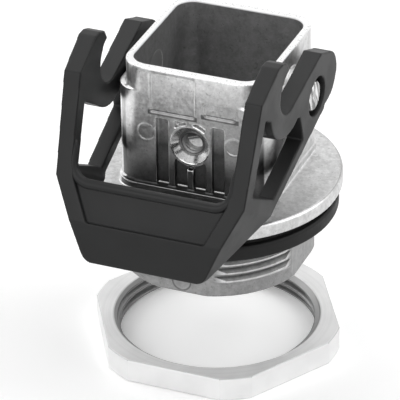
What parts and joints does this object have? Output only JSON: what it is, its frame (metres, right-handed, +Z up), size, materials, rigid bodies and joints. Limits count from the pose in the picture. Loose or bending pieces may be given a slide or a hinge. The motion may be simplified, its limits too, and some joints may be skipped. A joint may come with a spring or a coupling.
{
  "type": "rectangular connector bulkhead housing",
  "caption": "Die-cast bulkhead housing of a rectangular connector: square sleeve on a round flange with threaded neck, gasket, hooked bail latch on pivot pins, and lock nut.",
  "frame": {"origin": "middle of the panel seat, the gasket's underside, on the axis of the threaded neck", "axes": "+Z up out of the panel towards the sleeve's rim, -Y towards the front with the latch handle, +X to the right seen from the front"},
  "size_m": [0.0418, 0.0516, 0.0604],
  "materials": {
    "casting": "die-cast, mottled, rim machined",
    "gasket": "matt",
    "latch": "matt charcoal moulding",
    "pin": "polished end",
    "nut": "bright nickel plate"
  },
  "bodies": {
    "housing": {"housing": "casting", "panel_gasket": "gasket", "left_pivot_pin": "pin", "right_pivot_pin": "pin"},
    "latch": {"latch": "latch"},
    "lock_nut": {"lock_nut": "nut"}
  },
  "joints": [
    {"name": "latch_pivot", "type": "hinge", "parent": "housing", "child": "latch", "pos_m": [0, 0.002, 0.0214], "axis": [-1, 0, 0], "range_deg": [-5, 62]},
    {"name": "nut_travel", "type": "slide", "parent": "housing", "child": "lock_nut", "axis": [0, 0, 1], "range_m": [0, 0.0195]}
  ]
}
